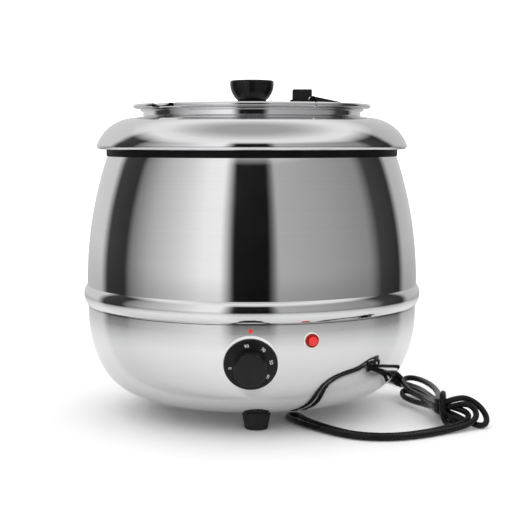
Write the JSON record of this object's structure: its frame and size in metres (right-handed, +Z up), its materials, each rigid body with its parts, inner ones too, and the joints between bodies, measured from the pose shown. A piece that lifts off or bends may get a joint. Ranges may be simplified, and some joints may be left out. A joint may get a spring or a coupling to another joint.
{
  "type": "soup kettle",
  "caption": "Electric countertop soup kettle: bulged polished body, domed ring, hinged lid with knob and ladle notch, lift-out pot, thermostat dial, pilot lamp and mains lead.",
  "frame": {"origin": "on the worktop, under the middle of the kettle's own box (without the mains lead); the body's axis is 7.5 mm behind it because the dial makes the box longer at the front", "axes": "+Z up, +X to the right of someone facing the dial, -Y towards them (the dial is at the front)"},
  "size_m": [0.3964, 0.3974, 0.3343],
  "materials": {
    "aluminium": "plain aluminium",
    "black_plastic": "black heat-resistant plastic",
    "black_rubber": "black rubber",
    "ceramic": "glazed ceramic",
    "copper": "copper tube",
    "cord": "black flexible sheath",
    "gloss_black": "glossy black phenolic",
    "lamp_white": "pale plastic",
    "polished_steel": "polished stainless steel",
    "red_lens": "translucent red plastic",
    "satin_steel": "satin stainless steel",
    "zinc": "zinc-plated steel"
  },
  "bodies": {
    "kettle": {"base_plate": "satin_steel", "base_screws": "zinc", "capillary_tube": "copper", "clamp_nuts": "zinc", "clamp_studs": "zinc", "cord_bight": "cord", "cord_gland": "cord", "cord_hank": "cord", "cord_lead": "cord", "cord_tail": "cord", "dial_bezel": "polished_steel", "earth_screw": "zinc", "element_clamp": "zinc", "foot_1": "black_rubber", "foot_2": "black_rubber", "foot_3": "black_rubber", "foot_screws": "zinc", "heater_plate": "aluminium", "heating_element": "zinc", "index_gem": "red_lens", "inner_wiring": "black_plastic", "lamp_bezel": "lamp_white", "lamp_body": "lamp_white", "lamp_lens": "red_lens", "lower_shell": "polished_steel", "plug_body": "cord", "plug_pins": "zinc", "rim_gasket": "black_rubber", "sensing_bulb": "copper", "terminal_block": "ceramic", "thermal_cutout": "black_plastic", "thermostat_body": "ceramic", "thermostat_screws": "zinc", "upper_shell": "polished_steel", "water_well": "satin_steel"},
    "pot": {"inner_pot": "satin_steel"},
    "ring": {"dome_ring": "polished_steel", "lid_segment": "polished_steel", "hinge_leaf_fixed": "polished_steel", "hinge_pin": "polished_steel", "hinge_ramps": "black_plastic", "rivets_fixed": "polished_steel"},
    "lid": {"lid_flap": "polished_steel", "hinge_leaf_flap": "polished_steel", "hinge_block": "black_plastic", "rivets_flap": "polished_steel", "lid_knob": "gloss_black", "knob_foot": "gloss_black", "knob_screw": "zinc"},
    "dial": {"thermostat_dial": "black_plastic", "thermostat_shaft": "zinc"}
  },
  "joints": [
    {"name": "pot_lift", "type": "slide", "parent": "kettle", "child": "pot", "axis": [0, 0, 1], "range_m": [0, 0.21]},
    {"name": "ring_lift", "type": "slide", "parent": "pot", "child": "ring", "axis": [0, 0, 1], "range_m": [0, 0.12]},
    {"name": "lid_hinge", "type": "hinge", "parent": "ring", "child": "lid", "pos_m": [0.0606, 0.00758, 0.3139], "axis": [0, 1, 0], "range_deg": [0, 98]},
    {"name": "dial_turn", "type": "hinge", "parent": "kettle", "child": "dial", "pos_m": [0, -0.1555, 0.0742], "axis": [0, -0.9749, -0.2226], "range_deg": [-13, 257]}
  ]
}
